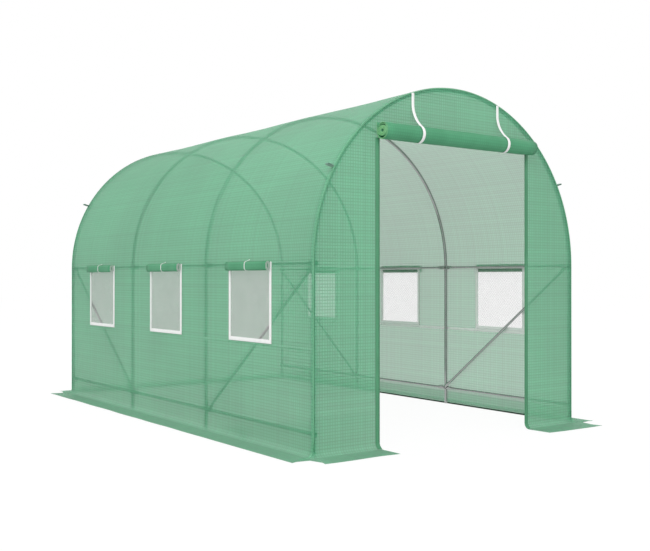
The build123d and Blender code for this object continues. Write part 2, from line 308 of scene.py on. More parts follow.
def zincFinish(name, colour, shine):
    f = Finish(name)
    spangle = f.flow("ShaderNodeTexVoronoi", {"feature": "F1"},
                     {"Vector": f.spot("Object"), "Scale": 160.0}, "Color")
    fleck = f.flow("ShaderNodeSeparateColor", None, {0: spangle})
    drift = f.grain(14.0, 4)
    dull = (fleck * 0.35 + drift.between(0.3, 0.7, 0, 0.5)).least(1.0)
    return f.close(f.add("ShaderNodeBsdfPrincipled", None,
                         {"Base Color": f.blend(dull, colour, tuple(c * 0.82 for c in colour)),
                          "Metallic": drift.between(0.2, 0.6, 0.90, 1.0),
                          "Roughness": fleck * 0.05 + drift * 0.10 + shine,
                          "Normal": f.bump(0.03, 0.0004, fleck + drift)}))


coverCloth = clothFinish("coverCloth", clothLook)
hemCloth = clothFinish("hemCloth", dict(clothLook, film=(0.30, 0.86, 0.52), yarnTone=0.2, filmSight=0.86))
bindCloth = rolledFinish("bindCloth", (0.135, 0.45, 0.245))
edgeBand = rolledFinish("edgeBand", (0.21, 0.55, 0.325), True)
rolledCloth = rolledFinish("rolledCloth", (0.118, 0.48, 0.25), pitch=clothLook["pitch"])
rollEdge = rolledFinish("rollEdge", (0.26, 0.62, 0.28), True)
paleEdge = rolledFinish("paleEdge", (0.74, 0.76, 0.74), True)
windowNet = netFinish("windowNet", netLook)
whiteTape = tapeFinish("whiteTape", (0.97, 0.97, 0.965), (0.88, 0.885, 0.88))
greyTape = tapeFinish("greyTape", (0.22, 0.38, 0.30), (0.13, 0.25, 0.19))
threadGreen = tapeFinish("threadGreen", (0.09, 0.33, 0.17), (0.06, 0.24, 0.12))
threadWhite = tapeFinish("threadWhite", (0.80, 0.81, 0.80), (0.66, 0.68, 0.66))
greyTube = zincFinish("greyTube", (0.37, 0.392, 0.38), 0.06)
zincBolt = zincFinish("zincBolt", (0.42, 0.43, 0.42), 0.16)
print("finishes made")

# mesh tools

sides = ((-1, "left"), (1, "right"))


class Pile:
    # verts, faces and flat places gathered into one piece
    def __init__(self):
        self.verts, self.faces, self.uvs = [], [], []

    def add(self, verts, faces, uvs):
        base = len(self.verts)
        self.verts += verts
        self.uvs += uvs
        self.faces += [tuple(base + i for i in f) for f in faces]

    def grid(self, rows, uvRows, keep=None, turned=False):
        n = len(rows[0])
        faces = []
        for i in range(len(rows) - 1):
            for j in range(n - 1):
                if keep is None or keep(i, j):
                    quad = (i * n + j, (i + 1) * n + j, (i + 1) * n + j + 1, i * n + j + 1)
                    faces.append(quad[::-1] if turned else quad)
        self.add([v for r in rows for v in r], faces, [u for r in uvRows for u in r])

    def strap(self, path, wide, width, thick, close=False):
        # a flat band with eased edges; wide is the way of its width, one for all or one a point
        pts = [Vector(p) for p in path]
        ways = [Vector(w) for w in wide] if isinstance(wide, list) else [Vector(wide)] * len(pts)
        w, t = width / 2, thick / 2
        c = t * 0.6
        shape = [(-w, c - t), (-w, t - c), (c - w, t), (w - c, t), (w, t - c), (w, c - t), (w - c, -t), (c - w, -t)]
        verts, uvs, faces, way = [], [], [], 0.0
        last = len(pts) - 1
        for i, p in enumerate(pts):
            ahead = pts[(i + 1) % len(pts)] if close or i < last else p
            behind = pts[i - 1] if close or i > 0 else p
            along = (ahead - behind).normalized()
            over = along.cross(ways[i]).normalized()
            if i:
                way += (p - pts[i - 1]).length
            for a, b in shape:
                verts.append(tuple(p + ways[i] * a + over * b))
                uvs.append((a + b, way))
        n, m = len(pts), len(shape)
        for i in range(n if close else last):
            for j in range(m):
                k = (j + 1) % m
                faces.append((i * m + j, i * m + k, (i + 1) % n * m + k, (i + 1) % n * m + j))
        if not close:
            faces += [tuple(range(m))[::-1], tuple(last * m + j for j in range(m))]
        self.add(verts, faces, uvs)

    def piece(self, name, mats, closed=False):
        mesh = bpy.data.meshes.new(name)
        mesh.from_pydata(self.verts, [], self.faces)
        layer = mesh.uv_layers.new(name="flat")
        for loop in mesh.loops:
            layer.data[loop.index].uv = self.uvs[loop.vertex_index]
        for mat in mats:
            mesh.materials.append(mat)
        for poly in mesh.polygons:
            poly.use_smooth = True
        bm = bmesh.new()
        bm.from_mesh(mesh)
        bmesh.ops.delete(bm, geom=[v for v in bm.verts if not v.link_faces], context="VERTS")
        if closed:
            bmesh.ops.recalc_face_normals(bm, faces=bm.faces)
        bm.to_mesh(mesh)
        bm.free()
        ob = bpy.data.objects.new(name, mesh)
        scene.collection.objects.link(ob)
        return ob


def flatten(ob):
    # the piece with its modifiers turned into plain mesh
    mesh = bpy.data.meshes.new_from_object(ob.evaluated_get(bpy.context.evaluated_depsgraph_get()))
    ob.modifiers.clear()
    ob.data = mesh
    return ob


def settle(ob, slot, *nodes):
    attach(ob, "root")
    if nodes:
        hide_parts(*nodes)
    return ob


def steps(stops, size):
    # the stops with even divisions between them
    out = [stops[0]]
    sizes = size if isinstance(size, list) else [size] * (len(stops) - 1)
    for a, b, s in zip(stops, stops[1:], sizes):
        n = max(1, round(abs(b - a) / s))
        out += [a + (b - a) * i / n for i in range(1, n + 1)]
    return out


def ease(x, low, high):
    t = min(1.0, max(0.0, (x - low) / (high - low)))
    return t * t * (3 - 2 * t)


def ruffle(x, y, seed):
    return noise.noise(Vector((x, y, seed)))


# node trees for what repeats along a path or at a set of points

def socketName(tree, label):
    return next(item.identifier for item in tree.interface.items_tree
                if item.name == label and item.in_out == "INPUT")


def newTree(name, inputs):
    tree = bpy.data.node_groups.new(name, "GeometryNodeTree")
    tree.interface.new_socket("Geometry", in_out="INPUT", socket_type="NodeSocketGeometry")
    for label, kind in inputs:
        tree.interface.new_socket(label, in_out="INPUT", socket_type=kind)
    tree.interface.new_socket("Geometry", in_out="OUTPUT", socket_type="NodeSocketGeometry")
    return tree


def putNode(tree, kind, settings=None, sockets=None):
    node = tree.nodes.new(kind)
    for key, value in (settings or {}).items():
        setattr(node, key, value)
    for key, value in (sockets or {}).items():
        if isinstance(value, bpy.types.NodeSocket):
            tree.links.new(value, node.inputs[key])
        else:
            node.inputs[key].default_value = value
    return node


def plant(tree, points, shape, way, mat):
    # the shape set on every point and turned along way, as plain mesh
    turn = putNode(tree, "FunctionNodeAlignRotationToVector", {"axis": "Z"}, {"Vector": way.outputs[0]})
    many = putNode(tree, "GeometryNodeInstanceOnPoints", None,
                   {"Points": points, "Instance": shape.outputs[0], "Rotation": turn.outputs[0]})
    real = putNode(tree, "GeometryNodeRealizeInstances", None, {0: many.outputs[0]})
    dressed = putNode(tree, "GeometryNodeSetMaterial", None, {"Geometry": real.outputs[0], "Material": mat})
    putNode(tree, "NodeGroupOutput", None, {0: dressed.outputs[0]})
    return tree


def stitchTree():
    tree = newTree("stitchRun", [("Pitch", "NodeSocketFloat"), ("Length", "NodeSocketFloat"),
                                 ("Thread", "NodeSocketFloat"), ("Cloth", "NodeSocketMaterial")])
    start = putNode(tree, "NodeGroupInput").outputs
    curve = putNode(tree, "GeometryNodeMeshToCurve", None, {"Mesh": start["Geometry"]})
    spread = putNode(tree, "GeometryNodeResampleCurve", {"mode": "LENGTH"},
                     {"Curve": curve.outputs[0], "Length": start["Pitch"]})
    thread = putNode(tree, "GeometryNodeMeshCylinder", None,
                     {"Vertices": 6, "Radius": start["Thread"], "Depth": start["Length"]})
    tangent = putNode(tree, "GeometryNodeInputTangent")
    return plant(tree, spread.outputs[0], thread, tangent, start["Cloth"])


boltShapes = [  # node, sizes or the tree's input that gives them, height of the middle
    ("GeometryNodeMeshCylinder", {"Vertices": 24, "Radius": "Washer", "Depth": 0.0016}, 0.0008),
    ("GeometryNodeMeshCylinder", {"Vertices": 6, "Radius": "Head", "Depth": 0.0045}, 0.0038),
    ("GeometryNodeMeshCone", {"Vertices": 24, "Radius Top": 0.0045, "Radius Bottom": 0.0062, "Depth": 0.0009}, 0.0060),
    ("GeometryNodeMeshCone", {"Vertices": 16, "Radius Top": 0.0025, "Radius Bottom": 0.0031, "Depth": 0.0026}, 0.0062),
]


def boltTree():
    # washer, nut, its rounded top and the end of the shank
    tree = newTree("boltSet", [("Head", "NodeSocketFloat"), ("Washer", "NodeSocketFloat"),
                               ("Metal", "NodeSocketMaterial")])
    start = putNode(tree, "NodeGroupInput").outputs
    join = putNode(tree, "GeometryNodeJoinGeometry")
    for kind, sizes, height in boltShapes:
        sizes = {key: start[value] if isinstance(value, str) else value for key, value in sizes.items()}
        shape = putNode(tree, kind, None, sizes)
        raised = putNode(tree, "GeometryNodeTransform", None,
                         {"Geometry": shape.outputs["Mesh"], "Translation": (0, 0, height)})
        tree.links.new(raised.outputs[0], join.inputs[0])
    aim = putNode(tree, "GeometryNodeInputNamedAttribute", {"data_type": "FLOAT_VECTOR"}, {"Name": "aim"})
    return plant(tree, start["Geometry"], join, aim, start["Metal"])


def growAlong(name, verts, edges, tree, values, aims=None):
    mesh = bpy.data.meshes.new(name)
    mesh.from_pydata(verts, edges, [])
    if aims:
        layer = mesh.attributes.new("aim", "FLOAT_VECTOR", "POINT")
        for item, aim in zip(layer.data, aims):
            item.vector = aim
    ob = bpy.data.objects.new(name, mesh)
    scene.collection.objects.link(ob)
    mod = ob.modifiers.new("repeat", "NODES")
    mod.node_group = tree
    for label, value in values.items():
        mod[socketName(tree, label)] = value
    return flatten(ob)


class Runs:
    # stitch lines gathered for one piece
    def __init__(self):
        self.verts, self.edges = [], []

    def line(self, path, close=False):
        base = len(self.verts)
        self.verts += [tuple(p) for p in path]
        n = len(path)
        self.edges += [(base + i, base + (i + 1) % n) for i in range(n if close else n - 1)]


stitchSet = stitchTree()
boltSet = boltTree()
stitchLook = {"Pitch": 0.0085, "Length": 0.0058, "Thread": 0.00045}


def sew(name, runs, slot, mat, look=stitchLook):
    ob = growAlong(name, runs.verts, runs.edges, stitchSet, dict(look, Cloth=mat))
    return settle(ob, slot)


# tunnel cover: one length of cloth from skirt edge to skirt edge

tunnel = {"radius": 0.9985, "spring": 0.988, "endY": 1.6585, "skirtEdge": 1.155, "flare": 0.045,
          "foldRadius": 0.0355, "foldX": 1.034, "foldTop": 0.037, "hoops": (-1.6467, -0.525, 0.525, 1.6467),
          "cell": 0.030, "fine": 0.015, "roofCells": 45, "foldCells": 7, "turnCells": 5,
          "roofSag": 0.004, "crease": 0.0020, "pucker": 0.0034, "edgeWave": 0.006,
          "hem": 0.012, "hemLift": 0.0011, "sewIn": 0.003, "sewLift": 0.0014}
window = {"centres": (-1.045, 0.0, 1.045), "width": 0.412, "bottom": 0.577, "top": 0.976}
web = {"side": 0.75, "end": 0.70, "notch": (1.050, 1.706), "flatX": 1.54, "flatTurn": 0.03}
seamTape = {"height": 0.547, "half": 1.652, "width": 0.018, "thick": 0.0007, "inset": 0.0010}


def bayShare(y):
    # 0 at a hoop, 1 half way between two
    for a, b in zip(tunnel["hoops"], tunnel["hoops"][1:]):
        if a <= y <= b:
            return math.sin(math.pi * (y - a) / (b - a)) ** 2
    return 0.0


def tunnelStations():
    # (way from the ridge, x, z, outward x, outward z, kind, share) down the right half
    t, rows = tunnel, []
    r = t["radius"]
    for i in range(t["roofCells"] + 1):
        a = math.pi / 2 * (1 - i / t["roofCells"])
        rows.append((r * (math.pi / 2 - a), r * math.cos(a), t["spring"] + r * math.sin(a),
                     math.cos(a), math.sin(a), "roof", math.sin(a)))
    way = rows[-1][0]
    for z in steps([t["spring"], window["top"], window["bottom"], t["foldTop"]],
                   [t["cell"], t["cell"], t["fine"]])[1:]:
        rows.append((way + t["spring"] - z, r, z, 1, 0, "wall", z))
    way = rows[-1][0]
    for i in range(1, t["foldCells"] + 1):
        a = math.pi / 2 * i / t["foldCells"]
        rows.append((way + t["foldRadius"] * a, t["foldX"] - t["foldRadius"] * math.cos(a),
                     t["foldTop"] - t["foldRadius"] * math.sin(a), math.cos(a), math.sin(a), "fold",
                     i / t["foldCells"]))
    way = rows[-1][0]
    for x in steps([t["foldX"], t["skirtEdge"]], 0.02)[1:]:
        rows.append((way + x - t["foldX"], x, t["foldTop"] - t["foldRadius"], 0, 1, "skirt",
                     (x - t["foldX"]) / (t["skirtEdge"] - t["foldX"])))
    return rows


def tunnelPoint(row, side, y, lift=0.0):
    way, x, z, nx, nz, kind, share = row
    t, push, up = tunnel, 0.0, 0.0
    fromEnd = t["endY"] - abs(y)
    if kind == "roof":
        push -= t["roofSag"] * bayShare(y) * share
        crease = t["crease"] * 0.5 * ruffle(side * way * 1.6, y * 5.0, 3.1)
        push += crease * ease(way, 0, 0.3) * (1 - ease(way, 1.3, 1.5))
    elif kind == "wall":
        low = ease(z, 0.04, 0.12) * (1 - ease(z, 0.40, 0.55))
        push += t["crease"] * ruffle(y * 7.0, z * 1.3, 7.7 + side) * low * min(1.0, bayShare(y) * 3)
        corner = (1 - ease(fromEnd, 0.10, 0.42)) * low * ease(fromEnd, 0, 0.03)
        push += t["pucker"] * ruffle(abs(y) * 15 + z * 8, z * 4 - abs(y) * 3, 5.5 + side) * corner
        push = max(push, -0.0010) if min(abs(y - h) for h in t["hoops"]) < 0.03 else push
    elif kind == "skirt":
        up = t["edgeWave"] * share * max(0.0, ruffle(y * 2.3, side * 5.0, 1.9) + 0.1)
        y *= 1 + t["flare"] * share / t["endY"]
    push += lift
    return (side * (x + nx * push), y, z + nz * push + up)


def inWindow(y, z):
    return window["bottom"] < z < window["top"] and any(abs(y - c) < window["width"] / 2 for c in window["centres"])


def skirtLay(x, share):
    # the end skirts are laid a little out of square
    return share * (endCover["skew"] * x - endCover["slack"])


def cornerWeb(side, end, half):
    # flat cloth between two skirts, from the turn of the fold out to a notch; half 0 is the side's, half 1 the end's
    t, e = tunnel, endCover
    wide = t["radius"] + e["flare"] * web["end"]
    deep = e["foldY"] + (e["skirtEdge"] - e["foldY"]) * web["end"] + skirtLay(side * wide, web["end"])
    tips = [(t["foldX"] + (t["skirtEdge"] - t["foldX"]) * web["side"], t["endY"] + t["flare"] * web["side"]),
            web["notch"], (wide, deep)]
    grid, flat = [], []
    for k in range(4):
        a = math.pi / 4 * (half + k / 3)
        r = t["foldX"] - t["radius"]
        near = Vector((t["radius"] + r * math.cos(a), t["endY"] + r * math.sin(a)))
        far = Vector(tips[half]).lerp(Vector(tips[half + 1]), k / 3)
        spots = [near.lerp(far, s / 4) for s in range(5)]
        grid.append([(side * p.x, end * p.y, t["foldTop"] - t["foldRadius"]) for p in spots])
        flat.append([(side * (p.x + web["flatX"]), end * p.y) for p in spots])
    return grid, flat


def makeTunnel():
    t = tunnel
    half = tunnelStations()
    rows = [(-1, r) for r in reversed(half[1:])] + [(1, r) for r in half]
    edges = [e for c in window["centres"] for e in (c - window["width"] / 2, c + window["width"] / 2)]
    lines = steps([-t["endY"], *edges, t["endY"]], [t["fine"]] + [t["cell"]] * 5 + [t["fine"]])
    pile = Pile()

    def keep(i, j):
        y, z = (lines[j] + lines[j + 1]) / 2, (rows[i][1][2] + rows[i + 1][1][2]) / 2
        return not (rows[i][1][5] in ("wall", "roof") and inWindow(y, z))

    pile.grid([[tunnelPoint(r, s, y) for y in lines] for s, r in rows],
              [[(s * r[0], y) for y in lines] for s, r in rows], keep)
    # the cloth turns each corner of the folds
    fold = [r for r in half if r[5] == "fold" or (r[5] == "wall" and r[2] < t["foldTop"] + 1e-6)]
    turn = [math.pi / 2 * k / t["turnCells"] for k in range(t["turnCells"] + 1)]
    for side in (-1, 1):
        for end in (-1, 1):
            grid = [[(side * (t["radius"] + (r[1] - t["radius"]) * math.cos(a)),
                      end * (t["endY"] + (r[1] - t["radius"]) * math.sin(a)), r[2]) for a in turn] for r in fold]
            flat = [[(side * r[0], end * (t["endY"] + web["flatTurn"] * a)) for a in turn] for r in fold]
            pile.grid(grid, flat, None, side * end < 0)
            pile.grid(*cornerWeb(side, end, 0), None, side * end > 0)
    cover = pile.piece("tunnelCover", [coverCloth])
    settle(cover, "cover_cloth", "left_skirt", "left_wall", "left_roof", "right_roof", "right_wall", "right_skirt")

    # narrow turned hems at both ends, stitched down
    hems, runs = Pile(), Runs()
    for end in (-1, 1):
        ys = [end * (t["endY"] - t["hem"] * k / 2) for k in range(3)]
        hems.grid([[tunnelPoint(r, s, y, t["hemLift"]) for y in ys] for s, r in rows],
                  [[(s * r[0], y) for y in ys] for s, r in rows], None, end > 0)
        sewn = end * (t["endY"] - t["hem"] + t["sewIn"])
        runs.line([tunnelPoint(r, s, sewn, t["sewLift"]) for s, r in rows])
    hem = settle(hems.piece("tunnelHems", [hemCloth]), "cover_cloth")
    thread = sew("hemStitches", runs, "cover_cloth", threadGreen)

    # white seam tape along the inside of both walls
    tape, g = Pile(), seamTape
    for side in (-1, 1):
        path = [(side * (t["radius"] - g["inset"]), y, g["height"]) for y in steps([-g["half"], g["half"]], 0.1)]
        tape.strap(path, (0, 0, 1), g["width"], g["thick"])
    tape = settle(tape.piece("seamTape", [whiteTape], True), "white_webbing")
    across = 2 * half[-1][0]
    holes = 6 * window["width"] * (window["top"] - window["bottom"])
    across * 2 * t["endY"] - holes
    print("tunnel cover", len(cover.data.polygons), "faces,", round(across, 3), "m across")


# end covers: the door end with its doorway and two skirts, and the plain rear end

endCover = {"y": 1.6585, "door": 0.565, "head": 1.675, "skirtEdge": 1.850, "foldY": 1.694, "foldRadius": 0.0355,
            "foldTop": 0.037, "flare": 0.045, "skew": 0.018, "slack": 0.006, "skirtHalf": 1.02, "skirtLong": 0.21,
            "cell": 0.030, "foldCells": 7, "topCells": 18, "sideCells": 16, "doorCells": 36,
            "crease": 0.0022, "pucker": 0.0020, "edgeWave": 0.005,
            "bindWidth": 0.0060, "bindThick": 0.0009, "sewLift": 0.0015}


def archHalf(z):
    over = z - tunnel["spring"]
    return tunnel["radius"] if over <= 0 else math.sqrt(max(0.0, tunnel["radius"] ** 2 - over ** 2))


def endRows():
    # (way, outward distance, z, flare share), from the skirt edge to the top of the arch
    e, rows = endCover, []
    flat = e["skirtEdge"] - e["foldY"]
    for d in steps([e["skirtEdge"], e["foldY"]], 0.02):
        rows.append((e["skirtEdge"] - d, d, e["foldTop"] - e["foldRadius"], (d - e["foldY"]) / flat))
    way = rows[-1][0]
    for i in range(1, e["foldCells"] + 1):
        a = math.pi / 2 * i / e["foldCells"]
        rows.append((way + e["foldRadius"] * a, e["foldY"] - e["foldRadius"] * math.sin(a),
                     e["foldTop"] - e["foldRadius"] * math.cos(a), 0.0))
    way = rows[-1][0]
    r, spring, n = tunnel["radius"], tunnel["spring"], e["topCells"]
    levels = steps([e["foldTop"], e["head"]], e["cell"])[1:]
    first = math.asin((e["head"] - spring) / r)
    levels += [spring + r * math.sin(first + (math.pi / 2 - first) * i / n) for i in range(1, n + 1)]
    for z in levels:
        rows.append((way + z - e["foldTop"], e["y"], min(z, spring + r - 0.0002), 0.0))
    return rows


def endPoint(x, row, end, doorway):
    e = endCover
    out, z, flare = row[1:]
    rim = ease(archHalf(z) - abs(x), 0.02, 0.12) if flare == 0 else 0.0
    if doorway and z < e["head"]:
        rim *= 0.35 + 0.65 * ease(abs(x) - e["door"], 0.0, 0.06)
    fold = e["crease"] * ruffle(x * 8.0, z * 1.1, 4.4 + end) * rim * ease(z, e["foldTop"], 0.15)
    pucker = e["pucker"] * ruffle(abs(x) * 13 - z * 7, z * 3, 6.1)
    fold += pucker * rim * (1 - ease(z, 0.10, 0.45)) * ease(z, e["foldTop"], 0.09)
    up = e["edgeWave"] * flare * max(0.0, ruffle(x * 3.1, end * 4.0, 2.2) + 0.1)
    return (x, end * (out + fold + skirtLay(x, flare)), z + up)


def makeEnd(name, end, doorway, nodes):
    e, r, spring = endCover, tunnel["radius"], tunnel["spring"]
    rows = endRows()
    headHalf = archHalf(e["head"])
    sideShare = [i / e["sideCells"] for i in range(e["sideCells"] + 1)]
    midShare = [i / e["doorCells"] for i in range(1, e["doorCells"])]
    grid, flat = [], []
    for row in rows:
        wide = archHalf(row[2])
        inner = e["door"] if row[2] <= e["head"] else e["door"] * wide / headHalf
        wide += e["flare"] * row[3]
        xs = [-wide + (wide - inner) * s for s in sideShare]
        xs += [-inner + 2 * inner * s for s in midShare]
        xs += [inner + (wide - inner) * s for s in sideShare]
        grid.append([endPoint(x, row, end, doorway) for x in xs])
        flat.append([(x, row[0]) for x in xs])
    a, b = len(sideShare) - 1, len(sideShare) + len(midShare)
    pile = Pile()

    def keep(i, j):
        return not (doorway and rows[i + 1][2] <= e["head"] + 1e-6 and a <= j < b)

    pile.grid(grid, flat, keep, end < 0)
    for side in (-1, 1):
        pile.grid(*cornerWeb(side, end, 1), None, side * end > 0)
    cover = settle(pile.piece(name, [coverCloth]), "cover_cloth", *nodes)

    # binding sewn round the edge of the end
    outline = [(r, z) for z in steps([e["foldTop"], spring], 0.05)]
    turn = [math.pi * i / 90 for i in range(1, 91)]
    outline += [(r * math.cos(a), spring + r * math.sin(a)) for a in turn]
    outline += [(-r, z) for z in steps([spring, e["foldTop"]], 0.05)[1:]]
    inward = [Vector((-x / r, 0, -max(0.0, z - spring) / r)).normalized() for x, z in outline]
    w = e["bindWidth"]

    def inset(share, lift):
        return [(x + n.x * w * share, end * (e["y"] + lift), z + n.z * w * share)
                for (x, z), n in zip(outline, inward)]

    band, runs = Pile(), Runs()
    band.strap(inset(0.5, e["bindThick"]), inward, w, e["bindThick"])
    runs.line(inset(0.75, e["sewLift"]))
    band = settle(band.piece(name + "Binding", [edgeBand], True), "cover_cloth")
    thread = sew(name + "Stitches", runs, "cover_cloth", threadGreen)
    area = 2 * r * (spring - e["foldTop"]) + math.pi / 2 * r ** 2 + 2 * e["skirtHalf"] * e["skirtLong"]
    if doorway:
        area -= 2 * e["door"] * (e["head"] - e["foldTop"] + e["skirtLong"])
    print(name, len(cover.data.polygons), "faces")


makeTunnel()
makeEnd("doorEndCover", -1, True, ["front_left_panel", "front_right_panel", "front_top_panel",
                                   "front_left_skirt", "front_right_skirt"])
makeEnd("rearEndCover", 1, False, ["rear_panel", "rear_skirt"])

# doorway edge strips with a row of zip coil

strip = {"width": 0.028, "thick": 0.0013, "foot": 0.040, "top": 1.659, "y": -1.66075, "under": 0.0022,
         "sewIn": (0.010, 0.024), "sewLift": 0.0002, "coilIn": 0.0022, "coilLift": 0.0004,
         "coil": {"Pitch": 0.0026, "Length": 0.0013, "Thread": 0.0017}}


def makeStrips():
    s, e, band, runs, coil = strip, endCover, Pile(), Runs(), Runs()
    zs = steps([s["foot"], s["top"]], 0.05)
    r = e["foldRadius"] - s["under"]
    turn = [math.pi / 2 * i / 8 for i in range(6, 0, -1)]
    foot = [(-e["foldY"] + r * math.cos(a), e["foldTop"] - r * math.sin(a)) for a in turn]
    face = s["y"] - s["thick"] / 2
    for side in (-1, 1):
        mid = side * (e["door"] + s["width"] / 2)
        band.strap([(mid, *p) for p in foot] + [(mid, s["y"], z) for z in zs], (1, 0, 0), s["width"], s["thick"])
        for inset in s["sewIn"]:
            runs.line([(side * (e["door"] + inset), face - s["sewLift"], z) for z in zs])
        coil.line([(side * (e["door"] + s["coilIn"]), face - s["coilLift"], z) for z in zs])
    settle(band.piece("doorEdgeStrips", [bindCloth], True), "green_webbing", "door_edge_strips")
    sew("stripStitches", runs, "green_webbing", threadGreen)
    sew("stripCoil", coil, "green_webbing", threadGreen, s["coil"])
    print("edge strips made")


makeStrips()

# window nets and their stitched white borders

net = {"lines": 15, "sag": 0.0015}
border = {"width": 0.022, "thick": 0.0019, "outX": 1.0001, "inX": 0.9969, "topOut": 1.000, "topIn": 0.988,
          "cells": 12, "sew": (0.16, 0.84), "sewLift": 0.0002}


def makeNets(side, word):
    w, n, last, pile = window, net["lines"], net["lines"] - 1, Pile()
    bow = [math.sin(math.pi * i / last) for i in range(n)]
    for c in w["centres"]:
        rows, flat = [], []
        ys = [c + w["width"] * (i / last - 0.5) for i in range(n)]
        for j in range(n):
            z = w["top"] + (w["bottom"] - w["top"]) * j / last
            rows.append([(side * (tunnel["radius"] - net["sag"] * bow[i] * bow[j]), y, z) for i, y in enumerate(ys)])
            flat.append([(y, z) for y in ys])
        pile.grid(rows, flat, None, side < 0)
    ob = settle(pile.piece(f"{word}WindowNets", [windowNet]), "window_net", f"{word}_window_nets")


def borderRing(centre, x, top, share):
    # one loop round the frame, from its outer edge at 0 to the opening at 1
    b, w, n = border, window, border["cells"]
    h = w["width"] / 2 + b["width"] * (1 - share)
    low = w["bottom"] - b["width"] * (1 - share)
    high = w["top"] + (top - w["top"]) * (1 - share)
    corners = [(-h, low), (h, low), (h, high), (-h, high)]
    out = []
    for (ya, za), (yb, zb) in zip(corners, corners[1:] + corners[:1]):
        out += [(x, centre + ya + (yb - ya) * k / n, za + (zb - za) * k / n) for k in range(n)]
    return out


def makeBorders(side, word):
    b, t, pile, runs = border, border["thick"], Pile(), Runs()
    # share of the width and height above the cloth, across the band
    section = [(0, 0), (0, t * 0.6), (0.04, t), (0.5, t * 1.04), (0.96, t), (1, t * 0.6), (1, 0)]
    m = len(section)
    for c in window["centres"]:
        for face, way, top in ((b["outX"], 1, b["topOut"]), (b["inX"], -1, b["topIn"])):
            loops = [borderRing(c, side * (face + way * lift), top, share) for share, lift in section]
            n = len(loops[0])
            faces = [(i * n + j, i * n + (j + 1) % n, (i + 1) % m * n + (j + 1) % n, (i + 1) % m * n + j)
                     for i in range(m) for j in range(n)]
            verts = [v for loop in loops for v in loop]
            pile.add(verts, faces, [(v[1], v[2]) for v in verts])
            for share in b["sew"]:
                runs.line(borderRing(c, side * (face + way * (t + b["sewLift"])), top, share), True)
    settle(pile.piece(f"{word}WindowBorders", [whiteTape], True), "white_webbing", f"{word}_window_borders")
    sew(f"{word}BorderStitches", runs, "white_webbing", threadWhite)


for side, word in sides:
    makeNets(side, word)
    makeBorders(side, word)
print("window nets and borders made")

# rolled door and rolled window flaps: each one length of cloth, wound outwards from the bottom hem

doorRoll = {"half": 0.585, "out": 0.0473, "height": 1.692, "radius": 0.0470, "cloth": 0.0026, "pitch": 0.0036,
            "core": 0.0110, "tail": 1.741, "face": 1.660, "loose": 0.26, "slim": 0.12, "slack": 0.0012, "seed": 2.7}
flapRoll = {"half": 0.220, "out": 0.0178, "height": 0.979, "radius": 0.0155, "run": 0.010, "cloth": 0.0020,
            "pitch": 0.0031, "turns": 9, "tail": 1.004, "face": 1.000, "slim": 0.0, "slack": 0.0009, "seed": 8.3}


def doorPath():
    # (out from the panel, height) along the wound door
    d = doorRoll
    r0 = d["radius"] - d["cloth"] / 2
    path = [(d["out"] - r0, z) for z in steps([d["tail"], d["height"]], 0.012)]
    turns = (r0 - d["core"]) / d["pitch"]
    n = int(turns * 30)
    for i in range(1, n + 1):
        a = turns * i / n
        r = r0 - d["pitch"] * a
        tall = r * (1 - d["loose"] * ease(a, 1.4, 2.2))
        path.append((d["out"] - r * math.cos(2 * math.pi * a), d["height"] - tall * math.sin(2 * math.pi * a)))
    return path


def flapPath():
    f = flapRoll
    r0 = f["radius"] - f["cloth"] / 2
    place = f["out"] - r0
    path = [(place, z) for z in steps([f["tail"], f["height"] - f["run"]], 0.010)]
    for k in range(f["turns"]):
        r = r0 - k * f["pitch"] / 2
        way = 1 if k % 2 else -1
        for i in range(1, 11):
            a = math.pi * i / 10
            path.append((place - way * r * (1 - math.cos(a)), f["height"] + way * (f["run"] + r * math.sin(a))))
        place -= way * 2 * r
        if k < f["turns"] - 1:
            path += [(place, f["height"] + way * f["run"] * s) for s in (0.33, -0.33, -1.0)]
    return path


def wayAlong(path):
    out = [0.0]
    for (a, b), (c, d) in zip(path, path[1:]):
        out.append(out[-1] + math.hypot(c - a, d - b))
    return out


def wind(name, path, roll, mids, put, mats):
    # the path swept along each roll, with slightly uneven ends and layers
    pile, ways = Pile(), wayAlong(path)
    half, out, height, slack, seed = (roll[key] for key in ("half", "out", "height", "slack", "seed"))
    cols = steps([-half, half], 0.05)
    for mid in mids:
        rows, flat = [], []
        for (a, b), w in zip(path, ways):
            row, uv = [], []
            for c in cols:
                ends = slack * 1.6 * ruffle(w * 9.0, seed + mid, c / half) * abs(c / half) ** 8
                puff = 1 + slack * 18 * ruffle((mid + c) * 5.0, math.atan2(b - height, a - out) * 1.1, seed)
                puff -= roll["slim"] * ease(c / half, 0.80, 1.0)
                grown = 1 + (puff - 1) * ease(w, 0.0, 0.06)
                off = out + (a - out) * grown if a > out else a
                row.append(put(off, mid + c + ends, height + (b - height) * grown))
                uv.append((mid + c, w))
            rows.append(row)
            flat.append(uv)
        pile.grid(rows, flat)
    ob = pile.piece(name, mats)
    mod = ob.modifiers.new("cloth", "SOLIDIFY")
    mod.thickness = roll["cloth"]
    mod.offset = 0
    mod.material_offset_rim = 1
    return flatten(ob), ways[-1]


def makeRolls():
    d, f = doorRoll, flapRoll
    ob, long = wind("doorRoll", doorPath(), d, [0.0], lambda a, c, b: (c, -d["face"] - a, b), [rolledCloth, rollEdge])
    settle(ob, "rolled_cloth", "door_roll")
    print("door roll", len(ob.data.polygons), "faces,", round(long, 3), "m long")
    for side, word in sides:
        ob, long = wind(f"{word}FlapRolls", flapPath(), f, window["centres"],
                        lambda a, c, b: (side * (f["face"] + a), c, b), [rolledCloth, paleEdge])
        settle(ob, "rolled_cloth", f"{word}_flap_rolls")
        print(word, "flap rolls", len(ob.data.polygons), "faces,", round(long, 3), "m long")


makeRolls()

# webbing: ties of the door, ties of the flaps, loops on the end arches

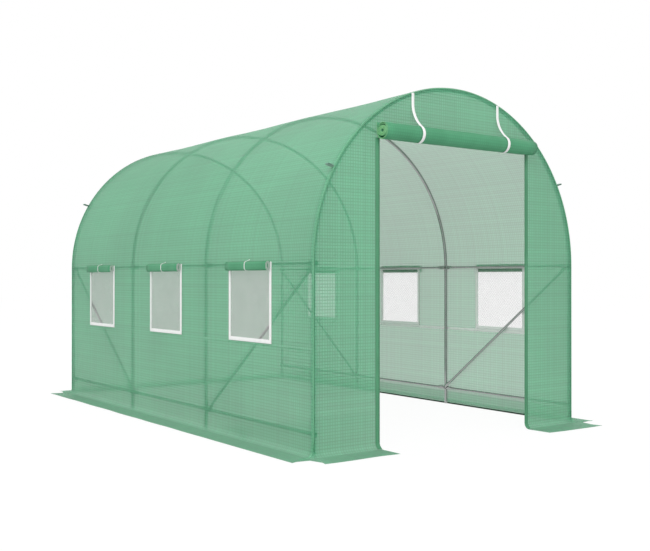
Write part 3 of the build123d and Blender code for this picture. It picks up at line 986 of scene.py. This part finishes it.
doorTie = {"side": 0.330, "width": 0.0195, "thick": 0.0018, "top": 1.9270, "hang": 0.062, "radius": 0.0486,
           "touch": 125, "end": 287, "lie": 0.0012, "sewOut": 0.0023,
           "box": ((-0.007, -0.003), (0.007, -0.003), (0.007, -0.014), (-0.007, -0.014)),
           "sew": {"Pitch": 0.0035, "Length": 0.0024, "Thread": 0.0004}}
flapTie = {"width": 0.006, "thick": 0.0017, "radius": 0.0167, "top": 1.016, "touch": 70, "wrap": 102,
           "lie": (0.0012, 0.0016), "drop": 0.004}
guyLoop = {"angle": 30, "lean": 14, "length": 0.042, "height": 0.009, "thick": 0.0024, "width": 0.025, "gap": 0.0003}


def makeDoorTies():
    # flat on the panel, across to the roll, then round its front
    w, d, pile, runs = doorTie, doorRoll, Pile(), Runs()

    def onRoll(a):
        return (d["out"] - w["radius"] * math.cos(a), d["height"] + w["radius"] * math.sin(a))

    leave = w["top"] - w["hang"]
    flat = [(w["lie"], z) for z in steps([w["top"], leave], 0.010)]
    a = math.radians(w["touch"])
    start, end = Vector((w["lie"], leave)), Vector(onRoll(a))
    gap = (end - start).length
    m0, m1 = Vector((0, -1)) * gap, Vector((math.sin(a), math.cos(a))) * gap
    for i in range(1, 17):
        s = i / 16
        p = start * (2 * s**3 - 3 * s**2 + 1) + m0 * (s**3 - 2 * s**2 + s)
        p = p + end * (3 * s**2 - 2 * s**3) + m1 * (s**3 - s**2)
        flat.append((p.x, p.y))
    flat += [onRoll(math.radians(w["touch"] + (w["end"] - w["touch"]) * i / 32)) for i in range(1, 33)]
    for side in (-1, 1):
        pile.strap([(side * w["side"], -d["face"] - p, q) for p, q in flat], (1, 0, 0), w["width"], w["thick"])
        runs.line([(side * w["side"] + x, -d["face"] - w["sewOut"], w["top"] + z) for x, z in w["box"]], True)
    settle(pile.piece("doorTies", [whiteTape], True), "white_webbing", "door_ties")
    sew("doorTieStitches", runs, "white_webbing", threadWhite, w["sew"])


def makeFlapTies(side, word):
    # from the cover above the roll, over its front and under it
    w, f, pile = flapTie, flapRoll, Pile()
    flat = [(w["lie"][0], w["top"]), (w["lie"][1], w["top"] - w["drop"])]
    for way in (1, -1):
        for i in range(13):
            a = math.radians(w["touch"] * (1 - i / 12) if way > 0 else -w["wrap"] * i / 12)
            flat.append((f["out"] + w["radius"] * math.cos(a),
                         f["height"] + way * f["run"] + w["radius"] * math.sin(a)))
    for c in window["centres"]:
        pile.strap([(side * (f["face"] + p), c, q) for p, q in flat], (0, 1, 0), w["width"], w["thick"])
    settle(pile.piece(f"{word}FlapTies", [whiteTape], True), "white_webbing", f"{word}_flap_ties")


def makeLoops():
    g, pile, loop = guyLoop, Pile(), []
    r = (g["height"] - g["thick"]) / 2
    run = g["length"] / 2 - g["height"] / 2
    for way in (1, -1):
        turn = [way * math.pi / 2 - math.pi * i / 10 for i in range(11)]
        loop += [(way * run + r * math.cos(a), r * math.sin(a)) for a in turn]
    rise, lean = math.radians(g["angle"]), math.radians(g["angle"] - g["lean"])
    c, s = math.cos(lean), math.sin(lean)
    out = g["gap"] + g["length"] / 2
    x, z = math.cos(rise) + out * c, tunnel["spring"] + math.sin(rise) + out * s
    for side in (-1, 1):
        for y in (tunnel["hoops"][0], tunnel["hoops"][-1]):
            path = [(side * (x + p * c - q * s), y, z + p * s + q * c) for p, q in loop]
            pile.strap(path, (0, 1, 0), g["width"], g["thick"], True)
    settle(pile.piece("guyLoops", [greyTape], True), "green_webbing", "guy_loops")


makeDoorTies()
for side, word in sides:
    makeFlapTies(side, word)
makeLoops()
print("webbing made")

# frame: galvanised tube, with a bolt at every lapped joint

for name, ob in parts.items():
    if name.endswith(("_legs", "_arch", "_rails", "_braces")):
        ob.data.materials.clear()
        ob.data.materials.append(greyTube)

bolts = {"eave": 0.988, "ground": 0.116, "eaveEnd": 0.9668, "eaveMid": 0.9701, "groundEnd": 0.9734,
         "groundMid": 0.9668, "sizes": {"Head": 0.0064, "Washer": 0.0078}}


def makeBolts():
    spots, aims = [], []
    for side in (-1, 1):
        for i, y in enumerate(tunnel["hoops"]):
            kind = "End" if i in (0, 3) else "Mid"
            for level in ("eave", "ground"):
                spots.append((side * bolts[level + kind], y, bolts[level]))
                aims.append((-side, 0, 0))
    ob = growAlong("frameBolts", spots, [], boltSet, dict(bolts["sizes"], Metal=zincBolt), aims)
    settle(ob, "frame_tube")
    print("bolts", len(spots), "with", len(ob.data.polygons), "faces")


makeBolts()
